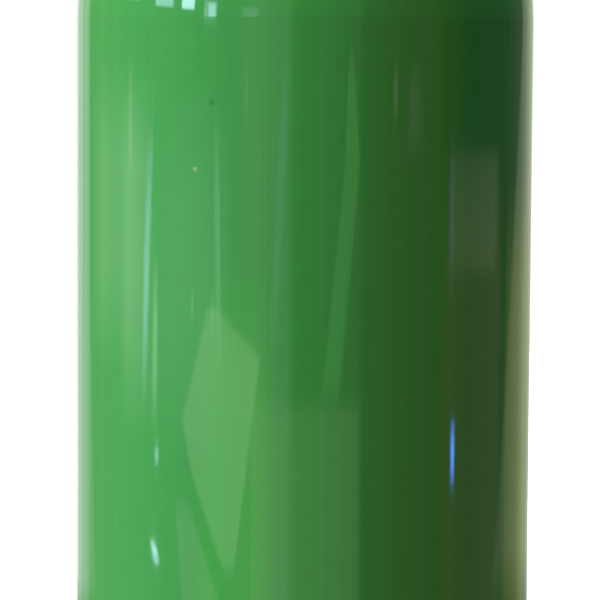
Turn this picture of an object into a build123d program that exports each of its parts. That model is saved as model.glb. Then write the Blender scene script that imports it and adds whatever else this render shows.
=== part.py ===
"""Portable medical oxygen cylinder: a seamless steel shell with a pin-index post valve.

Millimetres. The cylinder stands on its heel at the origin with its axis along +Z, and its gas
outlet faces -Y. Heights named *_rise are measured up from the flat face of the neck.
"""

import os
from math import acos, asin, cos, degrees, radians, sin, sqrt

from build123d import *

# Shell
barrel_od = 108.0
barrel_wall = 2.9
body_height = 419.0  # heel to neck face
neck_crown = 12.5  # neck face above the pole of the round shoulder
neck_od = 37.0
neck_blend = 9.0
neck_edge = 1.2
crown_wall = 7.0  # shoulder wall at its pole
base_wall = 7.5  # wall at the middle of the base
dish_depth = 9.0
heel_radius = 11.0
heel_land = 5.0
dish_blend = 6.0
inner_heel_radius = 10.0

# Neck seal and inlet thread
inlet_thread_r = 9.5
inlet_length = 20.0
inlet_chamfer = 1.2
neck_ring_section = 3.53
neck_ring_squeeze = 0.5
gland_side_gap = 0.2

# Contents label, wrapped on the back of the barrel
label_width = 84.0  # straight across, not along the curve
label_height = 112.0
label_drop = 36.0  # below the shoulder
label_corner = 6.0
label_thickness = 0.15
label_gap = 0.02

# Clearances that several pieces share
thread_clearance = 0.03
running_clearance = 0.05
press_clearance = 0.01

# Valve body
post_width = 22.2
post_depth = 27.0
drum_step = 1.1  # drum beyond the post's outlet face
drum_height = 24.0
flange_step = 2.4  # flange beyond the drum
flange_flat_inset = 0.3  # wrench flats inside the drum
flange_height = 5.6
post_corner = 3.2
post_edge = 1.4
small_edge = 0.6
outlet_r = 3.5
outlet_depth = 6.0
outlet_passage_r = 1.8
outlet_above_seat = 8.0
index_circle_r = 14.3  # gas outlet to index holes
index_angle = 18.0  # either side of straight down, which is the oxygen pair
index_hole_r = 2.4
index_hole_depth = 6.5
yoke_recess_r = 6.0
yoke_recess_depth = 4.6
yoke_recess_tip_r = 1.2

# Gas way through the valve
inlet_bore_r = 2.5
seat_rise = 38.0
seat_lip_r = 3.6
seat_lip_height = 1.5
chamber_r = 6.35

# Debris tube
debris_tube_od = 7.0
debris_tube_wall = 0.8
debris_tube_length = 62.0
debris_tube_grip = 12.0
debris_hole_r = 1.1

# Burst disc assembly, on the +X side of the drum
relief_rise = 15.0
relief_boss_r = 8.4
relief_boss_step = 2.9  # boss beyond the drum
relief_port_depth = 8.3
relief_passage_r = 1.6
relief_thread_r = 4.8
burst_disc_thickness = 0.2
relief_washer_thickness = 0.8
relief_washer_bore_r = 2.3
relief_hex = 12.7
relief_hex_height = 7.0
relief_bore_r = 2.2
relief_vent_r = 1.2
relief_rim_wall = 2.2

# Shut-off plug and seat
seat_insert_r = 4.1
seat_insert_thickness = 3.0
seat_insert_stand = 0.5
plug_nose_r = 5.0
plug_nose_length = 10.6
plug_length = 17.6
plug_slot_width = 2.8
thread_pitch = 1.27
opening_turns = 1.75
lift_gap = 0.5  # left over the plug when the valve is open

# Spindle
spindle_r = 4.0
collar_r = 7.3
collar_height = 2.2
collar_gap = 0.2
tang_width = 2.5
tang_length = 9.6
tang_engagement = 4.2
square_size = 6.35
square_length = 9.4
screw_r = 2.0
screw_depth = 8.0
screw_tip_gap = 2.0

# Bonnet
bonnet_thread_r = 8.0
bonnet_thread_length = 7.8
thrust_washer_thickness = 0.8
thrust_gap = 0.05
gasket_thickness = 0.8
gasket_r = 9.9
bonnet_hex = 20.6
bonnet_hex_height = 7.2
packing_groove_r = 6.2
packing_ring_height = 2.4
backup_ring_height = 1.2
packing_floor = 1.4  # metal between the gasket face and the packing groove

# Toggle handle
handle_gap = 1.2  # over the bonnet
handle_height = 13.0
hub_r = 9.6
wing_reach = 27.0
wing_tip_r = 5.4
wing_waist = 7.6
wing_blend = 6.0
handle_edge = 1.8
washer_recess_r = 5.2
washer_recess_depth = 2.0
handle_washer_r = 4.6
handle_washer_thickness = 0.6
screw_head_r = 3.8
screw_head_height = 2.2
screw_head_round = 1.3
screw_socket_flats = 2.5
screw_socket_depth = 1.2

# Outlet cap and the washer it carries
washer_r = 5.8
washer_bore_r = 3.9
washer_thickness = 2.4
spigot_gap = 0.1
cap_wall = 1.8
cap_side_gap = 0.3
cap_above_outlet = 10.0
cap_below_outlet = 20.5
cap_corner = 4.0
cap_edge = 0.5
cap_arm_height = 15.0
cap_arm_reach = 8.5  # past the valve's axis
cap_tab_width = 12.0
cap_tab_length = 11.0
cap_tab_hole_r = 2.6
cap_tab_wall = 1.1

# Shell places
barrel_r = barrel_od / 2
bore_r = barrel_r - barrel_wall
neck_r = neck_od / 2
neck_z = body_height
shoulder_z = neck_z - neck_crown - barrel_r
heel_inner_r = barrel_r - heel_radius - heel_land
dish_r = (heel_inner_r**2 + dish_depth**2) / (2 * dish_depth)
dish_centre_z = dish_depth - dish_r
gland_depth = neck_ring_section - neck_ring_squeeze
ring_centre_r = inlet_thread_r + thread_clearance + neck_ring_section / 2
gland_r = ring_centre_r + neck_ring_section / 2 + gland_side_gap
label_inner_r = barrel_r + label_gap
label_bottom = shoulder_z - label_drop - label_height

# Valve places, from the seat up to the handle
seat_z = neck_z + seat_rise
plug_z = seat_z + seat_insert_stand
plug_top_z = plug_z + plug_length
plug_lift = thread_pitch * opening_turns
collar_z = plug_top_z + plug_lift + lift_gap
chamber_top_z = collar_z - collar_gap
thrust_z = collar_z + collar_height + thrust_gap
bonnet_z = thrust_z + thrust_washer_thickness
hex_z = bonnet_z + bonnet_thread_length
post_top_z = hex_z - gasket_thickness
packing_z = hex_z + packing_floor
backup_z = packing_z + packing_ring_height
bonnet_top_z = hex_z + bonnet_hex_height
handle_z = bonnet_top_z + handle_gap
square_top_z = handle_z + square_length
washer_recess_z = handle_z + handle_height - washer_recess_depth
screw_head_z = washer_recess_z + handle_washer_thickness

# Outlet and relief places
outlet_z = seat_z + outlet_above_seat
face_y = -post_depth / 2
drum_r = drum_step - face_y
flange_r = drum_r + flange_step
outlet_face = Plane((0, face_y, outlet_z), x_dir=(1, 0, 0), z_dir=(0, -1, 0))
cap_inner = outlet_face.offset(washer_thickness)
cap_half_width = post_width / 2 + cap_side_gap + cap_wall
relief_z = neck_z + relief_rise
relief_plane = Plane((0, 0, relief_z), x_dir=(0, 1, 0), z_dir=(1, 0, 0))
relief_boss_reach = drum_r + relief_boss_step
relief_seat_x = relief_boss_reach - relief_port_depth
relief_plug_x = relief_seat_x + burst_disc_thickness + relief_washer_thickness
debris_tube_top = neck_z - inlet_length + debris_tube_grip
debris_tube_bottom = debris_tube_top - debris_tube_length


def ring_profile(inner_r, outer_r, bottom, top):
    """Draw the half section of a ring, ready to be turned about an upright axis."""
    with Locations(((inner_r + outer_r) / 2, (bottom + top) / 2)):
        Rectangle(outer_r - inner_r, top - bottom)


def turned_hexagon(flats, height):
    """Make a hexagonal prism on the XY plane with its corners turned down at both ends."""
    corner_r = flats / sqrt(3)
    drop = (corner_r - flats / 2) * 0.6
    with BuildPart() as prism:
        with BuildSketch():
            RegularPolygon(flats / 2, 6, major_radius=False)
        extrude(amount=height)
        with BuildSketch(Plane.XZ):
            with BuildLine():
                Polyline(
                    (0, 0),
                    (flats / 2, 0),
                    (corner_r, drop),
                    (corner_r, height - drop),
                    (flats / 2, height),
                    (0, height),
                    close=True,
                )
            make_face()
        revolve(axis=Axis.Z, mode=Mode.INTERSECT)
    return prism.part


# ---------------------------------------------------------------- shell
with BuildPart() as cylinder_shell:
    with BuildSketch(Plane.XZ) as outside:
        with BuildLine():
            dish = CenterArc(
                (0, dish_centre_z), dish_r, 90, -degrees(asin(heel_inner_r / dish_r))
            )
            Polyline(dish @ 1, (barrel_r, 0), (barrel_r, shoulder_z))
            shoulder = CenterArc(
                (0, shoulder_z), barrel_r, 0, degrees(acos(neck_r / barrel_r))
            )
            Polyline(shoulder @ 1, (neck_r, neck_z), (0, neck_z), dish @ 0)
        make_face()
        fillet(outside.vertices().sort_by_distance((barrel_r, 0))[0], heel_radius)
        fillet(outside.vertices().sort_by_distance((heel_inner_r, 0))[0], dish_blend)
        fillet(outside.vertices().sort_by_distance(shoulder @ 1)[0], neck_blend)
        fillet(outside.vertices().sort_by_distance((neck_r, neck_z))[0], neck_edge)
    revolve(axis=Axis.Z)
    with BuildSketch(Plane.XZ) as hollow:
        with BuildLine():
            floor_r = dish_r + base_wall
            floor = CenterArc(
                (0, dish_centre_z), floor_r, 90, -degrees(asin(bore_r / floor_r))
            )
            Line(floor @ 1, (bore_r, shoulder_z))
            crown_height = barrel_r - crown_wall
            crown = EllipticalCenterArc(
                (0, shoulder_z), bore_r, crown_height, start_angle=0, arc_size=90
            )
            Line(crown @ 1, floor @ 0)
        make_face()
        fillet(hollow.vertices().sort_by_distance(floor @ 1)[0], inner_heel_radius)
    revolve(axis=Axis.Z, mode=Mode.SUBTRACT)
    with Locations((0, 0, neck_z)):
        CounterBoreHole(
            inlet_thread_r + thread_clearance, gland_r, gland_depth, barrel_r
        )

with BuildPart() as contents_label:
    with BuildSketch(Plane.XY.offset(label_bottom)):
        Circle(label_inner_r + label_thickness)
        Circle(label_inner_r, mode=Mode.SUBTRACT)
    extrude(amount=label_height)
    with BuildSketch(Plane.XZ):
        with Locations((0, label_bottom + label_height / 2)):
            RectangleRounded(label_width, label_height, label_corner)
    extrude(amount=-barrel_od, mode=Mode.INTERSECT)

with BuildPart() as neck_o_ring:
    with BuildSketch(Plane.XZ):
        with Locations((ring_centre_r, neck_z - gland_depth / 2)):
            Circle(neck_ring_section / 2)
            Rectangle(neck_ring_section, gland_depth, mode=Mode.INTERSECT)
    revolve(axis=Axis.Z)

# ---------------------------------------------------------------- valve body
with BuildPart() as valve_body:
    with BuildSketch(Plane.XY.offset(neck_z)):
        Circle(inlet_thread_r)
    extrude(amount=-inlet_length)
    chamfer(valve_body.edges().sort_by(Axis.Z)[0], inlet_chamfer)
    with BuildSketch(Plane.XY.offset(neck_z)):
        Circle(flange_r)
        Rectangle(2 * flange_r, 2 * (drum_r - flange_flat_inset), mode=Mode.INTERSECT)
    extrude(amount=flange_height)
    chamfer(valve_body.faces().sort_by(Axis.Z)[-1].edges(), small_edge)
    with BuildSketch(Plane.XY.offset(neck_z)):
        Circle(drum_r)
    extrude(amount=drum_height)
    chamfer(valve_body.faces().sort_by(Axis.Z)[-1].edges(), post_edge)
    with BuildSketch(Plane.XY.offset(neck_z)):
        RectangleRounded(post_width, post_depth, post_corner)
    extrude(amount=post_top_z - neck_z)
    chamfer(valve_body.faces().sort_by(Axis.Z)[-1].edges(), post_edge)
    with BuildSketch(relief_plane):
        Circle(relief_boss_r)
    extrude(amount=relief_boss_reach)
    chamfer(valve_body.faces().sort_by(Axis.X)[-1].edges(), small_edge)
    # gas way along the axis, with a raised lip at the seat
    with BuildSketch(Plane.XZ):
        inlet_z = neck_z - inlet_length
        ring_profile(0, debris_tube_od / 2 + press_clearance, inlet_z, debris_tube_top)
        ring_profile(0, inlet_bore_r, inlet_z, seat_z)
        ring_profile(0, chamber_r, seat_z, chamber_top_z)
        ring_profile(seat_lip_r, chamber_r, seat_z - seat_lip_height, seat_z)
        ring_profile(0, bonnet_thread_r, chamber_top_z, post_top_z)
    revolve(axis=Axis.Z, mode=Mode.SUBTRACT)
    # gas outlet, and the two index holes below it
    with Locations(outlet_face):
        Hole(outlet_r, outlet_depth)
        Hole(outlet_passage_r, post_depth / 2)
        with PolarLocations(
            index_circle_r, 2, 270 - index_angle, 4 * index_angle, rotate=False
        ):
            Hole(index_hole_r, index_hole_depth)
    # cone for the yoke's clamp screw, opposite the outlet
    with BuildSketch(Plane.YZ):
        with BuildLine():
            Polyline(
                (-face_y, outlet_z),
                (-face_y, outlet_z + yoke_recess_r),
                (-face_y - yoke_recess_depth, outlet_z + yoke_recess_tip_r),
                (-face_y - yoke_recess_depth, outlet_z),
                close=True,
            )
        make_face()
    revolve(axis=Axis((0, 0, outlet_z), (0, 1, 0)), mode=Mode.SUBTRACT)
    # burst disc port
    with BuildSketch(relief_plane):
        Circle(relief_passage_r)
    extrude(amount=relief_seat_x, mode=Mode.SUBTRACT)
    with BuildSketch(relief_plane.offset(relief_seat_x)):
        Circle(relief_thread_r + thread_clearance)
    extrude(amount=relief_boss_reach - relief_seat_x, mode=Mode.SUBTRACT)

with BuildPart() as debris_tube:
    with BuildSketch(Plane.XY.offset(debris_tube_bottom)):
        Circle(debris_tube_od / 2)
        Circle(debris_tube_od / 2 - debris_tube_wall, mode=Mode.SUBTRACT)
    extrude(amount=debris_tube_length)
    with BuildSketch(Plane.XZ):
        with Locations((0, debris_tube_bottom + debris_tube_od)):
            Circle(debris_hole_r)
    extrude(amount=debris_tube_od, both=True, mode=Mode.SUBTRACT)

# ---------------------------------------------------------------- burst disc assembly
with BuildPart() as burst_disc:
    with BuildSketch(relief_plane.offset(relief_seat_x)):
        Circle(relief_thread_r - press_clearance)
    extrude(amount=burst_disc_thickness)

with BuildPart() as burst_disc_washer:
    with BuildSketch(relief_plane.offset(relief_seat_x + burst_disc_thickness)):
        Circle(relief_thread_r - press_clearance)
        Circle(relief_washer_bore_r, mode=Mode.SUBTRACT)
    extrude(amount=relief_washer_thickness)

relief_hexagon = turned_hexagon(relief_hex, relief_hex_height)
relief_end_x = relief_boss_reach + relief_hex_height
vent_x = relief_end_x - relief_rim_wall - relief_vent_r
with BuildPart() as safety_plug:
    with Locations(relief_plane.offset(relief_boss_reach)):
        add(relief_hexagon)
    with BuildSketch(relief_plane.offset(relief_plug_x)):
        Circle(relief_thread_r)
    extrude(amount=relief_boss_reach - relief_plug_x)
    with BuildSketch(relief_plane.offset(relief_plug_x)):
        Circle(relief_bore_r)
    extrude(amount=vent_x + relief_vent_r - relief_plug_x, mode=Mode.SUBTRACT)
    # three cross drillings, through all six flats
    for turn in (0, 60, 120):
        flat_normal = (0, sin(radians(turn)), cos(radians(turn)))
        with BuildSketch(Plane((vent_x, 0, relief_z), x_dir=(1, 0, 0), z_dir=flat_normal)):
            Circle(relief_vent_r)
        extrude(amount=relief_hex, both=True, mode=Mode.SUBTRACT)

# ---------------------------------------------------------------- shut-off plug
with BuildPart() as valve_plug:
    with BuildSketch(Plane.XY.offset(plug_z)):
        Circle(plug_nose_r)
    extrude(amount=plug_nose_length)
    with BuildSketch(Plane.XY.offset(plug_top_z)):
        Circle(chamber_r - running_clearance)
    extrude(amount=plug_nose_length - plug_length)
    with BuildSketch(Plane.XY.offset(plug_z)):
        Circle(seat_insert_r)
    extrude(amount=seat_insert_thickness - seat_insert_stand, mode=Mode.SUBTRACT)
    with BuildSketch(Plane.XY.offset(plug_top_z)):
        Rectangle(2 * chamber_r, plug_slot_width)
    extrude(amount=-tang_engagement - plug_lift - lift_gap, mode=Mode.SUBTRACT)

with BuildPart() as seat_insert:
    with BuildSketch(Plane.XY.offset(seat_z)):
        Circle(seat_insert_r)
    extrude(amount=seat_insert_thickness)

# ---------------------------------------------------------------- spindle and bonnet
with BuildPart() as spindle:
    with BuildSketch(Plane.XY.offset(collar_z)):
        Circle(collar_r)
    extrude(amount=collar_height)
    with BuildSketch(Plane.XY.offset(collar_z)):
        Circle(spindle_r)
    extrude(amount=handle_z - collar_z)
    with BuildSketch(Plane.XY.offset(handle_z)):
        Rectangle(square_size, square_size)
        Circle(spindle_r, mode=Mode.INTERSECT)
    extrude(amount=square_length)
    # tang that turns the plug
    with BuildSketch(Plane.XY.offset(collar_z)):
        Rectangle(tang_length, tang_width)
    extrude(amount=plug_top_z - tang_engagement - collar_z)
    with Locations((0, 0, square_top_z)):
        Hole(screw_r + press_clearance, screw_depth)

with BuildPart() as thrust_washer:
    with BuildSketch(Plane.XZ):
        ring_profile(spindle_r + running_clearance, collar_r, thrust_z, bonnet_z)
    revolve(axis=Axis.Z)

with BuildPart() as bonnet_gasket:
    with BuildSketch(Plane.XZ):
        ring_profile(bonnet_thread_r, gasket_r, post_top_z, hex_z)
    revolve(axis=Axis.Z)

bonnet_hexagon = turned_hexagon(bonnet_hex, bonnet_hex_height)
with BuildPart() as bonnet_nut:
    with Locations((0, 0, hex_z)):
        add(bonnet_hexagon)
    with BuildSketch(Plane.XZ):
        ring_profile(0, bonnet_thread_r - thread_clearance, bonnet_z, hex_z)
    revolve(axis=Axis.Z)
    with BuildSketch(Plane.XZ):
        ring_profile(0, spindle_r + running_clearance, bonnet_z, bonnet_top_z)
        ring_profile(0, packing_groove_r, packing_z, backup_z + backup_ring_height)
    revolve(axis=Axis.Z, mode=Mode.SUBTRACT)

with BuildPart() as spindle_o_ring:
    with BuildSketch(Plane.XZ) as packing:
        ring_profile(spindle_r + running_clearance, packing_groove_r, packing_z, backup_z)
        fillet(packing.vertices(), packing_ring_height / 4)
    revolve(axis=Axis.Z)

with BuildPart() as backup_ring:
    with BuildSketch(Plane.XZ):
        backup_top_z = backup_z + backup_ring_height
        ring_profile(spindle_r + running_clearance, packing_groove_r, backup_z, backup_top_z)
    revolve(axis=Axis.Z)

# ---------------------------------------------------------------- toggle handle
with BuildPart() as toggle_handle:
    with BuildSketch(Plane.XY.offset(handle_z)) as wings:
        tip_x = wing_reach - wing_tip_r
        Rectangle(2 * tip_x, wing_waist)
        with Locations((tip_x, 0), (-tip_x, 0)):
            Circle(wing_tip_r)
        Circle(hub_r)
        fillet(wings.vertices(), wing_blend)
    extrude(amount=handle_height)
    fillet(toggle_handle.faces().sort_by(Axis.Z)[-1].edges(), handle_edge)
    fillet(toggle_handle.faces().sort_by(Axis.Z)[0].edges(), handle_edge / 2)
    with BuildSketch(Plane.XY.offset(handle_z)):
        Rectangle(square_size + 2 * running_clearance, square_size + 2 * running_clearance)
        Circle(spindle_r + running_clearance, mode=Mode.INTERSECT)
    extrude(amount=square_length + running_clearance, mode=Mode.SUBTRACT)
    with Locations((0, 0, handle_z + handle_height)):
        CounterBoreHole(
            screw_r + 2 * running_clearance, washer_recess_r, washer_recess_depth, handle_height
        )

with BuildPart() as handle_washer:
    with BuildSketch(Plane.XY.offset(washer_recess_z)):
        Circle(handle_washer_r)
        Circle(screw_r + 2 * running_clearance, mode=Mode.SUBTRACT)
    extrude(amount=handle_washer_thickness)

with BuildPart() as handle_screw:
    with BuildSketch(Plane.XY.offset(screw_head_z)):
        Circle(screw_head_r)
    extrude(amount=screw_head_height)
    fillet(handle_screw.faces().sort_by(Axis.Z)[-1].edges(), screw_head_round)
    with BuildSketch(Plane.XY.offset(screw_head_z + screw_head_height)):
        RegularPolygon(screw_socket_flats / 2, 6, major_radius=False)
    extrude(amount=-screw_socket_depth, mode=Mode.SUBTRACT)
    with BuildSketch(Plane.XY.offset(screw_head_z)):
        Circle(screw_r)
    extrude(amount=square_top_z - screw_depth + screw_tip_gap - screw_head_z)

# ---------------------------------------------------------------- outlet cap
with BuildPart() as outlet_washer:
    with BuildSketch(outlet_face):
        Circle(washer_r)
        Circle(washer_bore_r, mode=Mode.SUBTRACT)
    extrude(amount=washer_thickness)

with BuildPart() as outlet_cap:
    with BuildSketch(cap_inner):
        with Locations((0, (cap_above_outlet - cap_below_outlet) / 2)):
            RectangleRounded(
                2 * cap_half_width, cap_above_outlet + cap_below_outlet, cap_corner
            )
    extrude(amount=cap_wall)
    fillet(outlet_cap.faces().sort_by(Axis.Y)[0].edges(), cap_edge)
    # thin pull tab with a finger hole
    with BuildSketch(cap_inner):
        tab_end = -cap_below_outlet - cap_tab_length
        with Locations((0, tab_end + (cap_tab_length + cap_corner) / 2)):
            SlotOverall(cap_tab_length + cap_corner, cap_tab_width, rotation=90)
        with Locations((0, tab_end + cap_tab_width / 2)):
            Circle(cap_tab_hole_r, mode=Mode.SUBTRACT)
    extrude(amount=cap_tab_wall)
    # spigot that carries the washer
    with BuildSketch(cap_inner):
        Circle(washer_bore_r - spigot_gap)
    extrude(amount=spigot_gap - washer_thickness)
    # arms that grip the sides of the post
    for side in (-1, 1):
        arm_inside = Plane(
            (side * (cap_half_width - cap_wall), 0, outlet_z), x_dir=(0, 1, 0), z_dir=(side, 0, 0)
        )
        arm_root_y = cap_inner.origin.Y
        with BuildSketch(arm_inside) as arm:
            with Locations(((arm_root_y + cap_arm_reach) / 2, 0)):
                Rectangle(cap_arm_reach - arm_root_y, cap_arm_height)
            fillet(arm.vertices().group_by(Axis.X)[-1], cap_corner)
        extrude(amount=cap_wall)

pieces = {
    "cylinder_shell": cylinder_shell,
    "contents_label": contents_label,
    "neck_o_ring": neck_o_ring,
    "valve_body": valve_body,
    "debris_tube": debris_tube,
    "burst_disc": burst_disc,
    "burst_disc_washer": burst_disc_washer,
    "safety_plug": safety_plug,
    "valve_plug": valve_plug,
    "seat_insert": seat_insert,
    "spindle": spindle,
    "thrust_washer": thrust_washer,
    "bonnet_gasket": bonnet_gasket,
    "bonnet_nut": bonnet_nut,
    "spindle_o_ring": spindle_o_ring,
    "backup_ring": backup_ring,
    "toggle_handle": toggle_handle,
    "handle_washer": handle_washer,
    "handle_screw": handle_screw,
    "outlet_washer": outlet_washer,
    "outlet_cap": outlet_cap,
}

os.makedirs("parts", exist_ok=True)
for name, piece in pieces.items():
    piece.part.label = name
    export_step(piece.part, f"parts/{name}.step")
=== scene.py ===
"""Finishes, studio and camera for the portable medical oxygen cylinder.

Metres. The cylinder stands on its heel at the origin with its axis along +Z, and its gas outlet
faces -Y. Azimuths are measured from -Y towards +X.
"""

import math

import bmesh
import bpy
from bpy.props import FloatProperty, FloatVectorProperty, PointerProperty
from mathutils import Matrix, Vector


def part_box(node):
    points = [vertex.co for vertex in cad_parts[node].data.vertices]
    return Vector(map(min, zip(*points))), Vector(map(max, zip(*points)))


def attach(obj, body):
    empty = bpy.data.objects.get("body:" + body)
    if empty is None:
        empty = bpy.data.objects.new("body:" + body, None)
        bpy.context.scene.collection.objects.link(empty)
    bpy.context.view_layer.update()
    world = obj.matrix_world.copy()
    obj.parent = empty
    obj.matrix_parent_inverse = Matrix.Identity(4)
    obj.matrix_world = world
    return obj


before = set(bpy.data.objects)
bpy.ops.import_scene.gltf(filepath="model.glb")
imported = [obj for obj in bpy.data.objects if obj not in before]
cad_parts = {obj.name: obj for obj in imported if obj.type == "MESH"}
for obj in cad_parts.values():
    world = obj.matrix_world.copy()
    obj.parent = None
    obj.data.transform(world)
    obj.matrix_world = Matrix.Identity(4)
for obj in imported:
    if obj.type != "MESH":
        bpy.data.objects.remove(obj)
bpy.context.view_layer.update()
SHELL_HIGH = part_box("cylinder_shell")[1]
LABEL_LOW, LABEL_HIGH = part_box("contents_label")
CAP_LOW, CAP_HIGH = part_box("outlet_cap")

bl_info = {
    "name": "Oxygen Cylinder Finishes",
    "version": (1, 0, 0),
    "blender": (4, 5, 0),
    "location": "View3D > Sidebar > Oxygen",
    "description": "Paints the oxygen cylinder and its post valve and sets up the studio",
    "category": "Object",
}

WHITE = Vector((1.0, 1.0, 1.0))
SKY = Vector((0.55, 0.75, 1.0))

# The shell's wear, in metres
SHELL_RADIUS = SHELL_HIGH.x
NECK_TOP = SHELL_HIGH.z
HEEL_CHIPS = 0.009
NECK_CHIPS = 0.0022
CHIP_DEPTH = 0.00012
LOW_SCUFFS = (0.060, 0.012)
SHOULDER_SCUFFS = 0.372

# The contents label's print, in metres
LABEL_MIDDLE = (LABEL_LOW.z + LABEL_HIGH.z) / 2
LABEL_HALF = (LABEL_HIGH.z - LABEL_LOW.z) / 2
BORDER_INSET = 0.005
HEADER_BOTTOM = LABEL_HIGH.z - 0.0262
ROW_PITCH = 0.0135

# The dust cap's finger ribs, in metres
RIB_COUNT = 6
RIB_SIZE = (0.0140, 0.0012, 0.0011)
RIB_PITCH = 0.0026
RIB_ROUNDING = 0.00045
FIRST_RIB = CAP_HIGH.z - 0.0060

# The studio, in metres
TENT_BOTTOM = -3.0
TENT_SIDES = 72
PANEL_GAP = 0.05
PANEL_COLUMNS = 24
PANEL_LINES = 12
FLOOR_RADIUS = 24.0
LAMP_DISTANCE = 2.6
LAMP_AIM = (0.0, 0.0, 0.25)


def on_ring(azimuth, radius, height):
    """A point at an azimuth in degrees from -Y towards +X."""
    angle = math.radians(azimuth)
    return Vector((radius * math.sin(angle), -radius * math.cos(angle), height))


# Node recipes

class Wire:
    """A value that runs through a finish. Arithmetic on wires adds Math nodes."""

    def __init__(self, finish, socket):
        self.finish = finish
        self.socket = socket

    def maths(self, operation, first, second=0.0, clamp=False):
        settings = {"operation": operation, "use_clamp": clamp}
        return self.finish.node("ShaderNodeMath", settings, {0: first, 1: second})

    def __add__(self, other):
        return self.maths("ADD", self, other)

    def __radd__(self, other):
        return self.maths("ADD", other, self)

    def __sub__(self, other):
        return self.maths("SUBTRACT", self, other)

    def __rsub__(self, other):
        return self.maths("SUBTRACT", other, self)

    def __mul__(self, other):
        return self.maths("MULTIPLY", self, other)

    def __rmul__(self, other):
        return self.maths("MULTIPLY", other, self)

    def __truediv__(self, other):
        return self.maths("DIVIDE", self, other)

    def __rtruediv__(self, other):
        return self.maths("DIVIDE", other, self)

    def __neg__(self):
        return self.maths("MULTIPLY", self, -1.0)

    def __abs__(self):
        return self.maths("ABSOLUTE", self)

    def larger(self, other):
        return self.maths("MAXIMUM", self, other)

    def clamped(self):
        return self.maths("ADD", self, 0.0, clamp=True)


class Finish:
    """A node tree of one material or of the world."""

    def __init__(self, name, tree=None):
        self.material = None
        if tree is None:
            self.material = bpy.data.materials.new(name)
            self.material.use_nodes = True
            tree = self.material.node_tree
        self.tree = tree
        self.tree.nodes.clear()

    def node(self, kind, settings=None, sockets=None, out=0):
        """Adds a node: its settings first, then the values or wires of its sockets."""
        made = self.tree.nodes.new(kind)
        for name, value in (settings or {}).items():
            if name == "stops":
                self.set_stops(made.color_ramp, value)
            else:
                setattr(made, name, value)
        for name, value in (sockets or {}).items():
            if isinstance(value, Wire):
                self.tree.links.new(value.socket, made.inputs[name])
            else:
                made.inputs[name].default_value = value
        return Wire(self, made.outputs[out]) if made.outputs else None

    @staticmethod
    def set_stops(ramp, stops):
        while len(ramp.elements) > 1:
            ramp.elements.remove(ramp.elements[-1])
        ramp.elements[0].position = stops[0][0]
        ramp.elements[0].color = stops[0][1]
        for place, colour in stops[1:]:
            ramp.elements.new(place).color = colour

    def place(self):
        """Where the point is on the piece, in metres."""
        return self.node("ShaderNodeTexCoord", out="Object")

    def axes(self, vector):
        """The three parts of a vector."""
        parts = self.node("ShaderNodeSeparateXYZ", None, {0: vector})
        return [Wire(self, socket) for socket in parts.socket.node.outputs]

    def stretched(self, vector, factors):
        """A place with each axis scaled, so a pattern there runs long where the factor is small."""
        return self.node("ShaderNodeVectorMath", {"operation": "MULTIPLY"}, {0: vector, 1: factors})

    def noise(self, scale, detail=2.0, roughness=0.5, vector=None):
        """Cloudy noise, its scale in waves a metre."""
        sockets = {"Scale": scale, "Detail": detail, "Roughness": roughness}
        sockets["Vector"] = vector or self.place()
        return self.node("ShaderNodeTexNoise", None, sockets, out="Fac")

    def cells(self, scale, vector):
        """Distance to the nearest of many scattered points."""
        sockets = {"Scale": scale, "Vector": vector}
        return self.node("ShaderNodeTexVoronoi", {"feature": "F1"}, sockets, out="Distance")

    def step(self, value, low, high):
        """0 below low, 1 above high and smooth between them; low may be the larger."""
        settings = {"interpolation_type": "SMOOTHSTEP", "clamp": True}
        sockets = {"Value": value, "From Min": low, "From Max": high}
        return self.node("ShaderNodeMapRange", settings, sockets)

    def blend(self, share, first, second):
        """Two colours mixed by share."""
        settings = {"data_type": "RGBA", "blend_type": "MIX"}
        return self.node("ShaderNodeMix", settings, {0: share, 6: first, 7: second}, out=2)

    def dented(self, height, distance, strength=1.0, normal=None):
        """A normal bumped by a height from 0 to 1, distance metres high."""
        sockets = {"Height": height, "Distance": distance, "Strength": strength}
        if normal is not None:
            sockets["Normal"] = normal
        return self.node("ShaderNodeBump", None, sockets)

    def spot(self, middle, radius):
        """1 inside a small ragged mark round a point."""
        place = self.place()
        away = self.node("ShaderNodeVectorMath", {"operation": "DISTANCE"},
                         {0: place, 1: middle}, out="Value")
        ragged = self.noise(1400.0, vector=place)
        return self.step(away + (ragged - 0.5) * radius * 2, radius, radius * 0.4)

    def worn_edge(self, width):
        """1 on edges that hands and tools reach, 0 on open faces."""
        rounded = self.node("ShaderNodeBevel", {"samples": 6}, {"Radius": width})
        face = self.node("ShaderNodeNewGeometry", out="Normal")
        same = self.node("ShaderNodeVectorMath", {"operation": "DOT_PRODUCT"},
                         {0: rounded, 1: face}, out="Value")
        return self.step(same, 0.99, 0.86)

    def surface(self, **sockets):
        """The shader itself. Names are the shader's sockets with spaces as underscores."""
        named = {name.replace("_", " "): value for name, value in sockets.items()}
        shader = self.node("ShaderNodeBsdfPrincipled", None, named)
        self.node("ShaderNodeOutputMaterial", None, {"Surface": shader})
        return self.material

    def glow(self, colour, strength):
        """A surface that only gives light."""
        shader = self.node("ShaderNodeEmission", None, {"Color": colour, "Strength": strength})
        self.node("ShaderNodeOutputMaterial", None, {"Surface": shader})
        return self.material


def rgba(colour):
    """A colour with full alpha, as sockets want it."""
    return (*tuple(colour)[:3], 1.0)


def paint(names, material):
    """Gives the CAD nodes of these names the material."""
    for name in names:
        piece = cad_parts[name]
        if not piece.material_slots:
            piece.data.materials.append(material)
        for slot in piece.material_slots:
            slot.material = material


# Settings

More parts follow.
